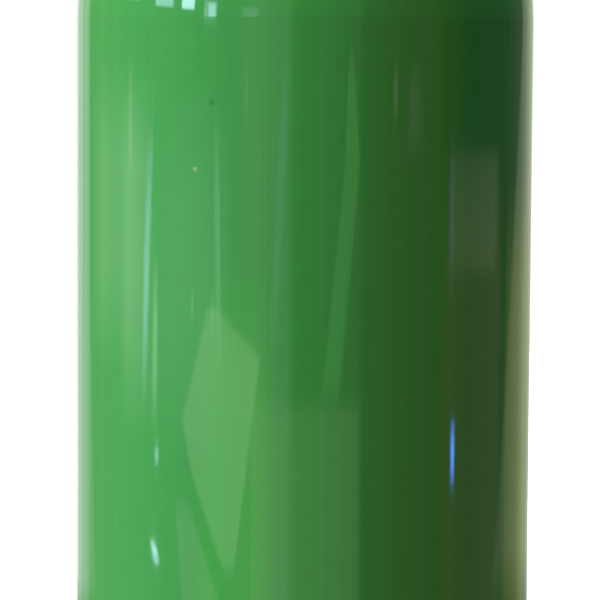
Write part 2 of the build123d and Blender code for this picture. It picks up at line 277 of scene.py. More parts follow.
class EnamelSettings(bpy.types.PropertyGroup):
    colour: FloatVectorProperty(
        name="Enamel", description="Green gloss enamel of the shell", subtype="COLOR",
        size=3, min=0.0, max=1.0, default=(0.047, 0.333, 0.055))
    primer: FloatVectorProperty(
        name="Primer", description="Grey primer under chipped enamel", subtype="COLOR",
        size=3, min=0.0, max=1.0, default=(0.17, 0.17, 0.16))
    gloss: FloatProperty(
        name="Gloss Roughness", description="Roughness of the sound enamel",
        subtype="FACTOR", min=0.0, max=1.0, default=0.035)
    peel: FloatProperty(
        name="Orange Peel", description="Height of the sprayed enamel's texture",
        subtype="DISTANCE", unit="LENGTH", min=0.0, default=0.000003)
    wave: FloatProperty(
        name="Tube Waves", description="Height of the long waves left in the drawn tube",
        subtype="DISTANCE", unit="LENGTH", min=0.0, default=0.0001)
    wear: FloatProperty(
        name="Wear", description="How far the heel and the neck edge are chipped",
        subtype="FACTOR", min=0.0, max=1.0, default=0.5)


class MetalSettings(bpy.types.PropertyGroup):
    plating: FloatVectorProperty(
        name="Plating", description="Satin chrome plating of the valve", subtype="COLOR",
        size=3, min=0.0, max=1.0, default=(0.66, 0.655, 0.64))
    brass: FloatVectorProperty(
        name="Brass", description="Bare brass of the valve's fittings", subtype="COLOR",
        size=3, min=0.0, max=1.0, default=(0.72, 0.50, 0.20))
    copper: FloatVectorProperty(
        name="Copper", description="Copper of the disc and gaskets", subtype="COLOR",
        size=3, min=0.0, max=1.0, default=(0.74, 0.36, 0.22))
    steel: FloatVectorProperty(
        name="Stainless Steel", description="Spindle, washer and screw", subtype="COLOR",
        size=3, min=0.0, max=1.0, default=(0.56, 0.55, 0.53))
    aluminium: FloatVectorProperty(
        name="Cast Aluminium", description="Toggle handle", subtype="COLOR",
        size=3, min=0.0, max=1.0, default=(0.70, 0.71, 0.72))


class PlasticSettings(bpy.types.PropertyGroup):
    film: FloatVectorProperty(
        name="Label Film", description="Film of the contents label", subtype="COLOR",
        size=3, min=0.0, max=1.0, default=(0.84, 0.85, 0.81))
    rubber: FloatVectorProperty(
        name="Rubber", description="Seals", subtype="COLOR",
        size=3, min=0.0, max=1.0, default=(0.022, 0.022, 0.024))
    nylon: FloatVectorProperty(
        name="Nylon", description="Seat, washers and backup ring", subtype="COLOR",
        size=3, min=0.0, max=1.0, default=(0.82, 0.80, 0.72))
    cap: FloatVectorProperty(
        name="Dust Cap", description="Pull-off cap of the gas outlet", subtype="COLOR",
        size=3, min=0.0, max=1.0, default=(0.72, 0.76, 0.72))


class StudioSettings(bpy.types.PropertyGroup):
    floor: FloatVectorProperty(
        name="Floor", description="Pale floor", subtype="COLOR",
        size=3, min=0.0, max=1.0, default=(0.93, 0.93, 0.93))
    key: FloatProperty(
        name="Key Light", description="Power of the large light at the left",
        subtype="POWER", unit="POWER", min=0.0, default=88.0)
    back: FloatProperty(
        name="Back Light", description="Power of the light behind the object",
        subtype="POWER", unit="POWER", min=0.0, default=45.0)
    key_azimuth: FloatProperty(
        name="Key Azimuth", description="Where the key light stands",
        subtype="ANGLE", unit="ROTATION", default=math.radians(-66))
    top: FloatProperty(
        name="Top Light", description="Strength of the soft light from above",
        min=0.0, default=2.8)
    wash: FloatProperty(
        name="Floor Wash", description="Strength of the light that only the floor takes",
        min=0.0, default=1.2)
    fill: FloatVectorProperty(
        name="Fill", description="Light of the room around the object", subtype="COLOR",
        size=3, min=0.0, max=4.0, default=(0.075, 0.078, 0.08))
    tent_radius: FloatProperty(
        name="Tent Radius", description="Distance of the reflector tent from the axis",
        subtype="DISTANCE", unit="LENGTH", min=0.5, default=1.2)
    tent_height: FloatProperty(
        name="Tent Height", description="Height of the reflector tent",
        subtype="DISTANCE", unit="LENGTH", min=0.5, default=2.2)


class CameraSettings(bpy.types.PropertyGroup):
    place: FloatVectorProperty(
        name="Camera Place", description="Where the camera stands", subtype="TRANSLATION",
        unit="LENGTH", size=3, default=(-0.00088, -0.7672, 0.3460))
    pitch: FloatProperty(
        name="Pitch", description="How far the camera looks down",
        subtype="ANGLE", unit="ROTATION", default=math.radians(4.5))
    roll: FloatProperty(
        name="Roll", description="How far the camera leans",
        subtype="ANGLE", unit="ROTATION", default=math.radians(0.342))
    lens: FloatProperty(
        name="Lens", description="Focal length", subtype="DISTANCE_CAMERA",
        unit="CAMERA", min=1.0, default=193.34)


# Finishes

def green_enamel(look):
    """Sprayed gloss enamel over primer, chipped at the heel and along the neck's edge."""
    enamel = Finish("green_enamel")
    place = enamel.place()
    height = enamel.axes(place)[2]

    # Colour drifts a little over the shell, as one sprayed coat does
    drift = enamel.noise(9.0, 3.0, 0.55, enamel.stretched(place, (1.0, 1.0, 0.35)))
    mottle = enamel.noise(240.0, 3.0, 0.6, place)
    sound = Vector(look.colour)
    pale = rgba(sound * 1.06 + Vector((0.004, 0.004, 0.003)))
    deep = rgba(sound * 0.95)
    coat = enamel.blend(drift, deep, pale)
    coat = enamel.blend(enamel.step(mottle, 0.40, 0.72) * 0.25, coat, rgba(sound * 1.12))

    # Chips at the heel, where the cylinder is stood down, and at the neck's edge
    ragged = enamel.noise(160.0, 5.0, 0.65, place)
    patches = enamel.noise(38.0, 2.0, 0.5, place)
    heel_reach = enamel.step(height, HEEL_CHIPS, 0.0)
    neck_reach = enamel.step(height, NECK_TOP - NECK_CHIPS, NECK_TOP)
    reach = heel_reach * 0.75 + neck_reach * 0.8
    chip_height = ragged * 0.6 + patches * 0.4 + reach * look.wear
    chipped = enamel.step(chip_height, 0.765, 0.785)
    to_steel = enamel.step(chip_height, 0.86, 0.90)

    # Scuffs low on the barrel and round the shoulder, where cylinders knock together
    rubbed = enamel.noise(60.0, 4.0, 0.7, enamel.stretched(place, (1.0, 1.0, 0.16)))
    low_band = enamel.step(height, *LOW_SCUFFS)
    high_band = enamel.step(abs(height - SHOULDER_SCUFFS), 0.020, 0.002)
    scuffed = enamel.step(rubbed + (low_band + high_band) * 0.10, 0.66, 0.78)

    # Two marks in the enamel of the front, one dark and one pale
    dark_mark = enamel.spot(on_ring(-22.5, SHELL_RADIUS, 0.3335), 0.0009)
    pale_mark = enamel.spot(on_ring(-27.0, SHELL_RADIUS, 0.3185), 0.0007)

    # A few pin nicks
    nick_cells = enamel.cells(70.0, place)
    nick_pick = enamel.noise(33.0, 1.0, 0.5, place)
    nick = enamel.step(nick_cells, 0.050, 0.030) * enamel.step(nick_pick, 0.62, 0.66)

    grit = enamel.noise(900.0, 3.0, 0.6, place)
    grey = Vector(look.primer)
    primer = enamel.blend(grit, rgba(grey * 0.8), rgba(grey * 1.2))
    bare = enamel.blend(grit, (0.20, 0.16, 0.13, 1.0), (0.34, 0.31, 0.28, 1.0))
    under = enamel.blend(to_steel, primer, bare)
    coat = enamel.blend(scuffed * 0.10, coat, (0.30, 0.42, 0.30, 1.0))
    coat = enamel.blend(nick * 0.65, coat, rgba(sound * 0.25))
    coat = enamel.blend(dark_mark * 0.4, coat, rgba(sound * 0.35))
    coat = enamel.blend(pale_mark * 0.5, coat, (0.40, 0.60, 0.40, 1.0))
    colour = enamel.blend(chipped, coat, under)

    smudge = enamel.noise(22.0, 4.0, 0.6, enamel.stretched(place, (1.0, 1.0, 0.5)))
    rough = look.gloss + enamel.step(smudge, 0.45, 0.80) * 0.025
    rough = rough + scuffed * 0.16 + chipped * 0.40 + nick * 0.25

    peel = enamel.noise(420.0, 2.0, 0.5, place)
    peel_waves = enamel.noise(120.0, 1.0, 0.5, enamel.stretched(place, (1.0, 1.0, 0.6)))
    tube = enamel.noise(26.0, 1.0, 0.4, enamel.stretched(place, (1.0, 1.0, 0.22)))
    normal = enamel.dented(tube, look.wave)
    normal = enamel.dented(peel + peel_waves * 1.5, look.peel, 1.0, normal)
    normal = enamel.dented(1 - (chipped + nick).clamped(), CHIP_DEPTH, 0.8, normal)
    metallic = to_steel * chipped * 0.8
    return enamel.surface(Base_Color=colour, Roughness=rough, Metallic=metallic, IOR=1.52,
                          Normal=normal)


def label_film(look):
    """Matt-laminated film: a printed border, a header band, ruled rows and handled corners."""
    film = Finish("label_film")
    place = film.place()
    across, _, height = film.axes(place)
    up = abs(height - LABEL_MIDDLE)
    grain = film.noise(700.0, 4.0, 0.6, place)
    soiling = film.noise(28.0, 4.0, 0.6, place)
    sides = film.step(abs(across), LABEL_HIGH.x - 0.006, LABEL_HIGH.x)
    ends = film.step(up, LABEL_HALF - 0.006, LABEL_HALF)
    handled = (sides + ends).clamped() * film.step(soiling, 0.35, 0.70)
    clean = film.blend(grain * 0.3, rgba(Vector(look.film) * 0.97), rgba(look.film))
    colour = film.blend(handled * 0.35, clean, (0.52, 0.50, 0.42, 1.0))
    colour = film.blend(film.step(soiling, 0.62, 0.85) * 0.14, colour, (0.50, 0.52, 0.45, 1.0))

    # The print: a fine border, a band at the top and ruled rows
    side_off = abs(across) - (LABEL_HIGH.x - BORDER_INSET)
    end_off = up - (LABEL_HALF - BORDER_INSET)
    border_off = side_off.larger(end_off)
    border = film.step(abs(border_off), 0.0004, 0.0003)
    inside = film.step(border_off, -0.0011, -0.0013)
    header = inside * film.step(height, HEADER_BOTTOM, HEADER_BOTTOM + 0.0002)
    row_share = film.node("ShaderNodeMath", {"operation": "FRACT"},
                          {0: (height - (LABEL_LOW.z + BORDER_INSET)) / ROW_PITCH})
    ruled = film.step(row_share, 0.975, 0.98) * inside * (1 - header)
    ink = film.blend(grain * 0.5, (0.03, 0.20, 0.06, 1.0), (0.05, 0.26, 0.09, 1.0))
    colour = film.blend((border + header + ruled * 0.7).clamped() * 0.92, colour, ink)

    rough = 0.34 + grain * 0.10 + handled * 0.15
    ripple = film.noise(60.0, 2.0, 0.5, place)
    normal = film.dented(ripple, 0.00008)
    normal = film.dented(grain, 0.000008, 1.0, normal)
    return film.surface(Base_Color=colour, Roughness=rough, Normal=normal, IOR=1.48)


def black_rubber(look):
    """Moulded nitrile rubber, a little bloomed."""
    rubber = Finish("black_rubber")
    place = rubber.place()
    bloom = rubber.noise(180.0, 4.0, 0.6, place)
    pores = rubber.noise(2600.0, 2.0, 0.5, place)
    colour = rubber.blend(rubber.step(bloom, 0.40, 0.80) * 0.6, rgba(look.rubber),
                          (0.075, 0.075, 0.078, 1.0))
    rough = 0.48 + bloom * 0.20
    return rubber.surface(Base_Color=colour, Roughness=rough, IOR=1.52,
                          Normal=rubber.dented(pores, 0.00001))


def plated_brass(look):
    """Satin chrome over machined brass: fine turning lines, and brass showing on the edges."""
    plate = Finish("plated_brass")
    place = plate.place()
    turning = plate.noise(60.0, 2.0, 0.5, plate.stretched(place, (1.0, 1.0, 60.0)))
    cloud = plate.noise(90.0, 4.0, 0.6, place)
    speck = plate.noise(1400.0, 2.0, 0.5, place)
    edge = plate.worn_edge(0.0004)
    ragged = plate.noise(420.0, 3.0, 0.6, place)
    worn = edge * plate.step(ragged, 0.46, 0.60)
    sheen = plate.blend(cloud, rgba(Vector(look.plating) * 0.92), rgba(Vector(look.plating) * 1.06))
    colour = plate.blend(worn * 0.75, sheen, rgba(Vector(look.brass) * 0.9))
    tarnish = plate.step(cloud, 0.60, 0.82) * 0.25
    colour = plate.blend(tarnish, colour, (0.38, 0.34, 0.27, 1.0))
    rough = 0.20 + cloud * 0.10 + plate.step(speck, 0.5, 0.8) * 0.06 + worn * 0.10
    normal = plate.dented(turning, 0.000012)
    normal = plate.dented(speck, 0.000002, 1.0, normal)
    return plate.surface(Base_Color=colour, Roughness=rough, Metallic=1.0, Normal=normal)


def bare_brass(look):
    """Machined brass, dulled to brown in patches."""
    brass = Finish("bare_brass")
    place = brass.place()
    turning = brass.noise(70.0, 2.0, 0.5, brass.stretched(place, (50.0, 1.0, 50.0)))
    cloud = brass.noise(220.0, 4.0, 0.65, place)
    fresh = brass.blend(cloud, rgba(Vector(look.brass) * 0.88), rgba(Vector(look.brass) * 1.08))
    colour = brass.blend(brass.step(cloud, 0.52, 0.78) * 0.5, fresh, (0.28, 0.17, 0.07, 1.0))
    rough = 0.26 + cloud * 0.20
    return brass.surface(Base_Color=colour, Roughness=rough, Metallic=1.0,
                         Normal=brass.dented(turning, 0.000010))


def copper(look):
    """Soft rolled copper, oxidised unevenly."""
    sheet = Finish("copper")
    place = sheet.place()
    cloud = sheet.noise(260.0, 4.0, 0.65, place)
    colour = sheet.blend(sheet.step(cloud, 0.40, 0.75), rgba(look.copper), (0.33, 0.13, 0.08, 1.0))
    rough = 0.30 + cloud * 0.20
    return sheet.surface(Base_Color=colour, Roughness=rough, Metallic=1.0,
                         Normal=sheet.dented(cloud, 0.00001))


def white_nylon(look):
    """Natural nylon, slightly yellowed and waxy."""
    nylon = Finish("white_nylon")
    place = nylon.place()
    cloud = nylon.noise(150.0, 3.0, 0.6, place)
    tool = nylon.noise(80.0, 2.0, 0.5, nylon.stretched(place, (1.0, 1.0, 40.0)))
    colour = nylon.blend(cloud, rgba(Vector(look.nylon) * 0.94), rgba(look.nylon))
    return nylon.surface(Base_Color=colour, Roughness=0.38 + cloud * 0.15, IOR=1.53,
                         Subsurface_Weight=0.12, Subsurface_Scale=0.001,
                         Normal=nylon.dented(tool, 0.00001))


def stainless_steel(look):
    """Turned stainless bar with fine lathe lines round the axis."""
    steel = Finish("stainless_steel")
    place = steel.place()
    lathe = steel.noise(80.0, 2.0, 0.5, steel.stretched(place, (1.0, 1.0, 60.0)))
    cloud = steel.noise(140.0, 3.0, 0.6, place)
    colour = steel.blend(cloud, rgba(Vector(look.steel) * 0.9), rgba(Vector(look.steel) * 1.1))
    rough = 0.20 + lathe * 0.12 + cloud * 0.06
    return steel.surface(Base_Color=colour, Roughness=rough, Metallic=1.0,
                         Normal=steel.dented(lathe, 0.000010))


def cast_aluminium(look):
    """Die-cast aluminium: a fine sandy skin, polished by hands along its edges."""
    cast = Finish("cast_aluminium")
    place = cast.place()
    sand = cast.noise(1500.0, 3.0, 0.6, place)
    flow = cast.noise(140.0, 4.0, 0.6, place)
    edge = cast.worn_edge(0.0007)
    skin = cast.blend(flow, rgba(Vector(look.aluminium) * 0.78), rgba(Vector(look.aluminium)))
    grime = cast.step(flow, 0.60, 0.80) * 0.30
    colour = cast.blend(grime, skin, (0.26, 0.26, 0.25, 1.0))
    colour = cast.blend(edge * 0.8, colour, rgba(Vector(look.aluminium) * 1.12))
    rough = 0.42 + sand * 0.12 - edge * 0.20
    normal = cast.dented(flow, 0.00006)
    normal = cast.dented(sand, 0.00003, 1.0, normal)
    return cast.surface(Base_Color=colour, Roughness=rough, Metallic=1.0, Normal=normal)


def cap_plastic(look):
    """Milky polyethylene with a soft sheen and small rub marks."""
    cap = Finish("cap_plastic")
    place = cap.place()
    cloud = cap.noise(120.0, 3.0, 0.6, place)
    rubs = cap.noise(300.0, 3.0, 0.7, cap.stretched(place, (0.3, 1.0, 1.6)))
    rubbed = cap.step(rubs, 0.60, 0.76)
    colour = cap.blend(cloud, rgba(Vector(look.cap) * 0.92), rgba(look.cap))
    colour = cap.blend(rubbed * 0.25, colour, (0.80, 0.82, 0.80, 1.0))
    rough = 0.30 + cloud * 0.08 + rubbed * 0.20
    normal = cap.dented(cloud, 0.00006)
    normal = cap.dented(rubs, 0.000012, 1.0, normal)
    return cap.surface(Base_Color=colour, Roughness=rough, IOR=1.51, Normal=normal,
                       Subsurface_Weight=0.20, Subsurface_Scale=0.002,
                       Subsurface_Radius=(1.0, 1.0, 0.9))


# Pieces

def cap_ribs(material):
    """Six moulded finger ribs across the front of the dust cap."""
    mesh = bpy.data.meshes.new("cap_ribs")
    shape = bmesh.new()
    middle = (CAP_LOW.x + CAP_HIGH.x) / 2
    sunk = CAP_LOW.y + 0.0001
    size = Matrix.Diagonal((*RIB_SIZE, 1.0))
    for i in range(RIB_COUNT):
        bar = bmesh.ops.create_cube(shape, size=1.0)["verts"]
        place = Matrix.Translation((middle, sunk, FIRST_RIB - i * RIB_PITCH))
        bmesh.ops.transform(shape, matrix=place @ size, verts=bar)
    bmesh.ops.bevel(shape, geom=shape.edges[:], offset=RIB_ROUNDING, segments=4, profile=0.5,
                    affect="EDGES")
    shape.to_mesh(mesh)
    shape.free()
    for polygon in mesh.polygons:
        polygon.use_smooth = True
    mesh.materials.append(material)
    ribs = bpy.data.objects.new("cap_ribs", mesh)
    bpy.context.scene.collection.objects.link(ribs)
    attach(ribs, "cap")


# Studio

def stage_piece(name, mesh_maker, material):
    """A piece of the studio, its mesh filled by mesh_maker."""
    mesh = bpy.data.meshes.new(name)
    shape = bmesh.new()
    mesh_maker(shape)
    shape.to_mesh(mesh)
    shape.free()
    piece = bpy.data.objects.new(name, mesh)
    bpy.context.scene.collection.objects.link(piece)
    mesh.materials.append(material)
    return piece


def gloss_only(piece):
    """Hides a piece from everything but glossy rays."""
    piece.visible_camera = False
    piece.visible_diffuse = False
    piece.visible_shadow = False
    piece.visible_transmission = False
    return piece


def reflector(name, radius, rows, colour, soft):
    """A panel of light on the ring that only gloss picks up, added to what is behind it.

    A row is (height, left azimuth, right azimuth), from the lowest up. The light fades to nothing
    over the share of the panel that soft gives, at all four sides.
    """
    lines = PANEL_LINES * (len(rows) - 1)

    def outline(line):
        """Height and azimuths of a line of the grid, between the rows above and below it."""
        lower = min(line // PANEL_LINES, len(rows) - 2)
        part = line / PANEL_LINES - lower
        return [a + (b - a) * part for a, b in zip(rows[lower], rows[lower + 1])]

    def fade(share):
        return min(1.0, share / soft, (1 - share) / soft)

    def build(shape):
        glow = shape.verts.layers.float.new("glow")
        grid = []
        for line in range(lines + 1):
            height, left, right = outline(line)
            grid.append([])
            for column in range(PANEL_COLUMNS + 1):
                share = column / PANEL_COLUMNS
                point = shape.verts.new(on_ring(left + (right - left) * share, radius, height))
                point[glow] = fade(line / lines) * fade(share)
                grid[-1].append(point)
        for low, high in zip(grid, grid[1:]):
            for i in range(PANEL_COLUMNS):
                shape.faces.new((low[i], low[i + 1], high[i + 1], high[i]))

    panel = Finish(name)
    level = panel.node("ShaderNodeAttribute", {"attribute_name": "glow"}, out="Fac")
    light = panel.node("ShaderNodeEmission", None, {"Color": rgba(colour), "Strength": level})
    clear = panel.node("ShaderNodeBsdfTransparent")
    both = panel.node("ShaderNodeAddShader", None, {0: light, 1: clear})
    panel.node("ShaderNodeOutputMaterial", None, {"Surface": both})
    return gloss_only(stage_piece(name, build, panel.material))


def tent_material():
    """Brightness of the tent by azimuth, with faint folds, paler above and below the object."""
    wall = Finish("tent_wall")
    across, depth, height = wall.axes(wall.place())
    angle = wall.node("ShaderNodeMath", {"operation": "ARCTAN2"}, {0: across, 1: -depth})
    share = angle / (2 * math.pi) + 0.5
    leaf = Vector((0.60, 1.0, 0.45))
    straw = Vector((0.8, 0.8, 0.0))
    pale_sky = Vector((0.85, 1.0, 1.30))
    turns = [
        (-180, WHITE * 0.66), (-138, WHITE * 0.60), (-134, WHITE * 0.28), (-118, WHITE * 0.36),
        (-90, pale_sky * 0.46), (-66, pale_sky * 0.46), (-45, pale_sky * 0.32),
        (-36, pale_sky * 0.34),
        (-27, WHITE * 0.60), (-8, WHITE * 0.60), (-5, straw * 0.15), (2, straw * 0.15),
        (8, leaf * 0.35), (26, leaf * 0.42), (29, WHITE * 0.10), (62, WHITE * 0.16),
        (70, WHITE * 0.06), (114, WHITE * 0.06), (137, WHITE * 0.16),
        (150, Vector((0.40, 0.45, 0.30))), (165, Vector((0.45, 0.49, 0.38))),
        (180, WHITE * 0.66)]
    stops = [(turn / 360 + 0.5, rgba(level)) for turn, level in turns]
    low = wall.node("ShaderNodeValToRGB", {"stops": stops}, {0: share})
    level = 0.80 + (across * -0.8 - depth * 0.35) * 0.35
    folds = wall.noise(1.0, 2.0, 0.6, wall.node("ShaderNodeCombineXYZ", None,
                                                {"X": share * 110, "Z": height * 0.6}))
    grey = wall.node("ShaderNodeCombineXYZ", None, {"X": level, "Y": level, "Z": level})
    high = wall.step(height, 0.58, 1.10)
    below = wall.step(height, -0.03, -0.90)
    colour = wall.blend(high, low, grey)
    colour = wall.blend(below * 0.8, colour, (0.42, 0.42, 0.42, 1.0))
    return wall.glow(colour, 1 + (folds - 0.5) * (1 - below) * (1 - high) * 1.1)


def build_tent(look):
    """A closed drum round the object, which its gloss mirrors."""
    turns = [360 * i / TENT_SIDES for i in range(TENT_SIDES)]

    def build(shape):
        rings = []
        for height in (TENT_BOTTOM, look.tent_height):
            rings.append([shape.verts.new(on_ring(turn, look.tent_radius, height))
                          for turn in turns])
            shape.faces.new(rings[-1])
        low, high = rings
        for i in range(TENT_SIDES):
            j = (i + 1) % TENT_SIDES
            shape.faces.new((low[i], low[j], high[j], high[i]))

    return gloss_only(stage_piece("tent", build, tent_material()))


def build_floor(look):
    """A pale floor that takes shadows and isn't mirrored."""
    pale = Finish("pale_floor")
    grain = pale.noise(3.0, 2.0, 0.5)
    colour = pale.blend(grain, rgba(Vector(look.floor) * 0.99), rgba(look.floor))
    material = pale.surface(Base_Color=colour, Roughness=0.7)

    def build(shape):
        bmesh.ops.create_circle(shape, cap_ends=True, segments=96, radius=FLOOR_RADIUS)

    floor = stage_piece("floor", build, material)
    floor.visible_diffuse = False
    floor.visible_glossy = False
    return floor


def add_light(name, kind, place, aim, **settings):
    """A lamp at a place, pointed at aim, that gloss doesn't see."""
    data = bpy.data.lights.new(name, kind)
    for key, value in settings.items():
        setattr(data, key, value)
    lamp = bpy.data.objects.new(name, data)
    bpy.context.scene.collection.objects.link(lamp)
    lamp.location = place
    lamp.rotation_euler = (Vector(aim) - Vector(place)).to_track_quat("-Z", "Y").to_euler()
    lamp.visible_glossy = False
    return lamp


def add_lights(look, floor):
    """The key, a weaker lamp behind, the sky above, and a wash that only the floor takes."""
    key_place = on_ring(math.degrees(look.key_azimuth), LAMP_DISTANCE, 1.25)
    add_light("key", "AREA", key_place, LAMP_AIM, shape="DISK", size=1.1, energy=look.key,
              color=(1.0, 1.0, 1.08))
    back_place = on_ring(173, LAMP_DISTANCE, 1.2)
    add_light("back", "AREA", back_place, LAMP_AIM, shape="DISK", size=0.7, energy=look.back)
    spread = math.radians(50)
    add_light("top", "SUN", (0.0, 0.0, 3.0), (0.0, 0.0, 0.0), angle=spread, energy=look.top)
    wash = add_light("floor_wash", "SUN", (0.0, 0.0, 3.2), (0.0, 0.0, 0.0), angle=spread,
                     energy=look.wash)
    washed = bpy.data.collections.new("washed")
    washed.objects.link(floor)
    wash.light_linking.receiver_collection = washed


def set_room(look):
    """A white room to the camera, and a dim even fill to everything else."""
    world = bpy.data.worlds.new("room")
    world.use_nodes = True
    bpy.context.scene.world = world
    room = Finish("room", world.node_tree)
    seen = room.node("ShaderNodeLightPath", out="Is Camera Ray")
    colour = room.blend(seen, rgba(look.fill), (1.0, 1.0, 1.0, 1.0))
    shader = room.node("ShaderNodeBackground", None, {"Color": colour, "Strength": 1.0})
    room.node("ShaderNodeOutputWorld", None, {"Surface": shader})


def add_camera(look):
    """The camera, a little above the barrel's middle and looking slightly down."""
    data = bpy.data.cameras.new("camera")
    data.lens = look.lens
    data.sensor_width = 36.0
    data.clip_start = 0.05
    data.clip_end = 50.0
    camera = bpy.data.objects.new("camera", data)
    bpy.context.scene.collection.objects.link(camera)
    upright = math.pi / 2 - look.pitch
    camera.matrix_world = (Matrix.Translation(look.place) @ Matrix.Rotation(upright, 4, "X")
                           @ Matrix.Rotation(look.roll, 4, "Z"))
    bpy.context.scene.camera = camera


# What the gloss picks up: a name, rows of (height, left azimuth, right azimuth) from the lowest up,
# the light, and the share of the panel that its edges fade over
REFLECTORS = (
    ("left_sweep", [(0.02, -180, -126), (0.18, -180, -133), (0.34, -180, -136), (0.60, -180, -136)],
     WHITE * 0.28, 0.03),
    ("right_sweep", [(0.02, 107, 180), (0.20, 124, 180), (0.35, 137, 180), (0.60, 137, 180)],
     Vector((0.62, 0.68, 0.46)) * 0.42, 0.06),
    ("wide_window", [(0.16, -132, -79), (0.34, -132, -79)], Vector((0.62, 0.58, 0.56)), 0.3),
    ("window_sash", [(0.12, -104, -78), (0.33, -104, -78)], Vector((0.85, 0.78, 0.76)), 0.25),
    ("warm_strip", [(0.265, -97.5, -93), (0.345, -97, -93.5)], Vector((0.9, 0.8, 0.7)), 0.35),
    ("tall_window", [(0.140, -87.5, -83), (0.22, -86, -81), (0.305, -83, -79)],
     Vector((1.8, 2.6, 4.3)), 0.35),
    ("thin_strip", [(0.19, -83.5, -81.5), (0.34, -79.5, -77.5)], SKY * 0.9, 0.4),
    ("pale_post", [(0.124, -80.5, -76), (0.23, -79.5, -75.5)], Vector((2.3, 2.1, 2.1)), 0.35),
    ("small_lamp", [(0.106, -78.5, -75), (0.119, -78.5, -75)], SKY * 6.5, 0.35),
    ("desk_lamp", [(0.049, -77.5, -73.5), (0.063, -82.5, -78)], SKY * 18.0, 0.35),
    ("door_edge", [(0.16, -43.5, -39.5), (0.315, -45.5, -41.5)], Vector((1.1, 1.2, 1.4)), 0.35),
    ("door_handle", [(0.180, -46.5, -44), (0.212, -46, -43.5)], SKY * 1.5, 0.4),
    ("door_lock", [(0.186, -57, -55), (0.210, -56.5, -54.5)], SKY * 1.9, 0.4),
    ("table_top", [(0.043, -37, -34), (0.105, -57, -27), (0.134, -62, -24),
                   (0.170, -54, -20), (0.199, -47, -44)],
     Vector((1.15, 1.25, 1.00)), 0.04),
    ("table_side", [(-0.10, -56, -44), (0.03, -62, -40), (0.09, -66, -58)],
     Vector((0.75, 0.80, 0.70)), 0.10),
    ("blue_sign", [(0.092, 77.0, 80.4), (0.136, 77.0, 80.4)], Vector((2.0, 4.8, 20.0)), 0.4),
    ("grey_board", [(0.213, 74, 112), (0.292, 74, 114)], Vector((0.26, 0.27, 0.20)), 0.14),
    ("low_right", [(-0.04, 68, 118), (0.29, 68, 118)], Vector((0.25, 0.15, 0.08)), 0.14),
    ("leaf_right", [(-0.50, 20, 88), (0.90, 20, 88)], Vector((0.18, 0.44, 0.0)), 0.3),
    ("warm_edge", [(-0.06, 114, 152), (0.27, 118, 154)], Vector((0.24, 0.26, 0.02)), 0.2),
    ("leaf_stem", [(0.145, 8, 17), (0.18, 11, 20), (0.28, 19, 27), (0.35, 21, 23)],
     Vector((0.30, 1.0, 0.25)), 0.10),
    ("leaf_wall", [(-0.06, -56, -12), (0.235, -56, -12)], Vector((0.15, 1.15, 0.0)), 0.25),
    ("green_wall", [(0.00, -26, 29), (0.15, -26, 29)], Vector((0.42, 0.58, 0.26)), 0.05),
    ("pale_wall", [(0.11, -84, -30), (0.33, -84, -30)], Vector((0.55, 0.60, 0.62)), 0.35),
    ("curtain_a", [(0.29, -29.5, -27), (0.35, -29.5, -27)], SKY * 0.7, 0.4),
    ("curtain_b", [(0.17, -17, -12.5), (0.35, -11, -5.5)], Vector((0.30, 0.38, 0.62)), 0.3),
    ("curtain_c", [(0.20, -23, -21), (0.34, -23, -21)], Vector((0.45, 0.30, 0.25)), 0.4),
    ("shelf_end", [(0.30, 43, 46), (0.34, 43, 46)], WHITE * 0.7, 0.4),
    ("shelf", [(0.28, 48, 61), (0.34, 52, 58)], WHITE * 0.25, 0.3),
    ("board_edge", [(0.20, 75, 79), (0.30, 75, 79)], Vector((0.25, 0.35, 0.90)), 0.4),
    ("window_a", [(0.475, -102, -89), (0.60, -102, -89)], SKY * 4.0, 0.1),
    ("window_b", [(0.465, -79, -67), (0.60, -79, -67)], SKY * 8.0, 0.1),
    ("window_c", [(0.462, -63, -55), (0.60, -63, -55)], SKY * 17.0, 0.1),
    ("window_d", [(0.357, -50.5, -43), (0.52, -50.5, -43)], SKY * 4.0, 0.08),
    ("window_pane", [(0.362, -48, -44), (0.51, -48, -44)], SKY * 7.0, 0.10),
    ("far_window", [(0.42, -32, -21), (0.50, -32, -21)], SKY * 1.6, 0.3),
)


def add_reflectors(radius):
    """Windows, lamps and pale things round the object, just inside the tent."""
    for name, rows, colour, soft in REFLECTORS:
        reflector(name, radius - PANEL_GAP, rows, colour, soft)


# Operators

class OXYGEN_OT_studio(bpy.types.Operator):
    """Builds the floor, the reflector tent, the lights and the camera"""
    bl_idname = "oxygen.studio"
    bl_label = "Studio"

    def execute(self, context):
        look = context.scene.oxygen_studio
        set_room(look)
        floor = build_floor(look)
        build_tent(look)
        add_reflectors(look.tent_radius)
        add_lights(look, floor)
        add_camera(context.scene.oxygen_camera)
        context.scene.view_settings.view_transform = "Standard"
        return {"FINISHED"}


class OXYGEN_OT_shell(bpy.types.Operator):
    """Sprays the shell with green enamel"""
    bl_idname = "oxygen.shell"
    bl_label = "Shell"

    def execute(self, context):
        paint(["cylinder_shell"], green_enamel(context.scene.oxygen_enamel))
        return {"FINISHED"}


class OXYGEN_OT_label(bpy.types.Operator):
    """Prints and finishes the contents label"""
    bl_idname = "oxygen.label"
    bl_label = "Contents Label"

    def execute(self, context):
        paint(["contents_label"], label_film(context.scene.oxygen_plastic))
        return {"FINISHED"}


class OXYGEN_OT_seals(bpy.types.Operator):
    """Finishes the rubber seals of the neck and the spindle"""
    bl_idname = "oxygen.seals"
    bl_label = "Rubber Seals"

    def execute(self, context):
        paint(["neck_o_ring", "spindle_o_ring"], black_rubber(context.scene.oxygen_plastic))
        return {"FINISHED"}


